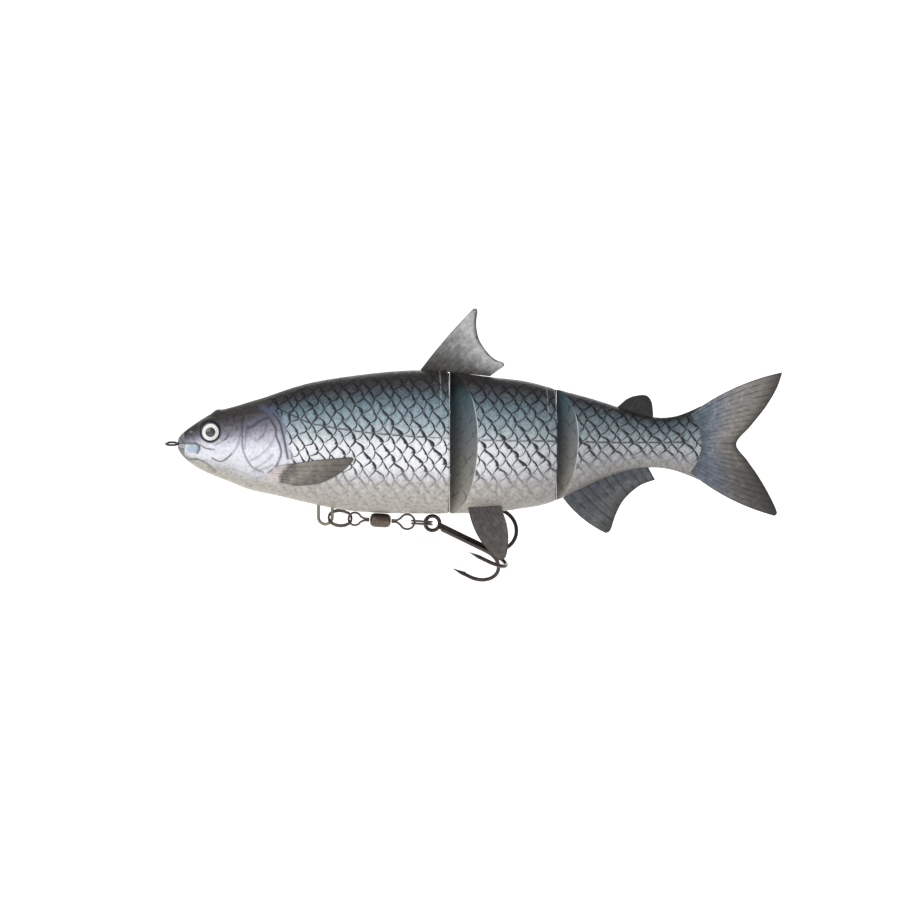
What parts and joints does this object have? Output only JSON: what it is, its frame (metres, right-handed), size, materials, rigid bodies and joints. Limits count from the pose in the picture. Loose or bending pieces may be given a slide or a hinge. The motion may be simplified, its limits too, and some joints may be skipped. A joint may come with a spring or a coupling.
{
  "type": "swimbait",
  "caption": "Jointed swimbait: hollow fish body in hinged sections with soft fins, a tow eye at the nose and a treble hook on a swivel rig under the belly.",
  "frame": {"origin": "centre of the tow eye's loop at the nose", "axes": "+X from the nose to the tail, +Z to the back, the left flank faces -Y"},
  "size_m": [0.2551, 0.0334, 0.1134],
  "materials": {
    "shell": "glossy painted hard plastic",
    "iris": "printed silver foil with a dark pupil",
    "dome": "clear domed resin",
    "fin": "soft satin moulded rubber",
    "pectoral": "soft satin moulded rubber",
    "silver_wire": "bright stainless wire",
    "dark_steel": "black nickel plating",
    "hook_steel": "dark black nickel plating",
    "pin_steel": "plain stainless steel",
    "weight": "plain cast weight"
  },
  "bodies": {
    "head_section": {"head_shell_left": "shell", "head_shell_right": "shell", "eye_disc_left": "iris", "eye_disc_right": "iris", "eye_lens_left": "dome", "eye_lens_right": "dome", "tow_eye": "pin_steel", "belly_hanger": "silver_wire", "head_ballast": "weight", "front_hinge_pin": "pin_steel", "dorsal_fin": "fin", "pectoral_fin_left": "pectoral", "pectoral_fin_right": "pectoral"},
    "middle_section": {"middle_shell_left": "shell", "middle_shell_right": "shell", "front_screw_eye_upper": "pin_steel", "front_screw_eye_lower": "pin_steel", "middle_ballast": "weight", "rear_hinge_pin": "pin_steel", "pelvic_fin_left": "fin", "pelvic_fin_right": "fin"},
    "tail_section": {"tail_shell_left": "shell", "tail_shell_right": "shell", "rear_screw_eye_upper": "pin_steel", "rear_screw_eye_lower": "pin_steel", "adipose_fin": "fin", "anal_fin": "fin", "caudal_fin": "fin"},
    "front_ring": {"front_split_ring": "dark_steel"},
    "swivel_eyes": {"swivel_front_eye": "dark_steel", "swivel_rear_eye": "dark_steel"},
    "barrel": {"swivel_barrel": "dark_steel"},
    "rear_ring": {"rear_split_ring": "dark_steel"},
    "treble": {"treble_double_hook": "hook_steel", "treble_single_hook": "hook_steel"}
  },
  "joints": [
    {"name": "front_body_hinge", "type": "hinge", "parent": "head_section", "child": "middle_section", "pos_m": [0.111, 0, 0], "axis": [0, 0, 1], "range_deg": [-33, 33]},
    {"name": "rear_body_hinge", "type": "hinge", "parent": "middle_section", "child": "tail_section", "pos_m": [0.1551, 0, 0], "axis": [0, 0, 1], "range_deg": [-33, 33]},
    {"name": "front_ring_swing", "type": "hinge", "parent": "head_section", "child": "front_ring", "pos_m": [0.0634, 0, -0.0304], "axis": [-0.0557, 0.9494, 0.309], "range_deg": [0, 90]},
    {"name": "swivel_swing", "type": "hinge", "parent": "front_ring", "child": "swivel_eyes", "pos_m": [0.07556, 0.00068, -0.03108], "axis": [-0.0557, 0.9494, 0.309], "range_deg": [0, 45]},
    {"name": "barrel_spin", "type": "hinge", "parent": "swivel_eyes", "child": "barrel", "pos_m": [0.08613, 0.00127, -0.03167], "axis": [0.9969, 0.0558, -0.0557], "continuous": true},
    {"name": "rear_ring_swing", "type": "hinge", "parent": "swivel_eyes", "child": "rear_ring", "pos_m": [0.09719, 0.00189, -0.03229], "axis": [-0.0557, 0.9494, 0.309], "range_deg": [0, 45]},
    {"name": "treble_swing", "type": "hinge", "parent": "rear_ring", "child": "treble", "pos_m": [0.10761, 0.00248, -0.03287], "axis": [0, 0, 1], "range_deg": [-33, 33]}
  ],
  "couplings": [
    {"joint": "treble_swing", "follows": "front_body_hinge", "ratio": 1}
  ]
}
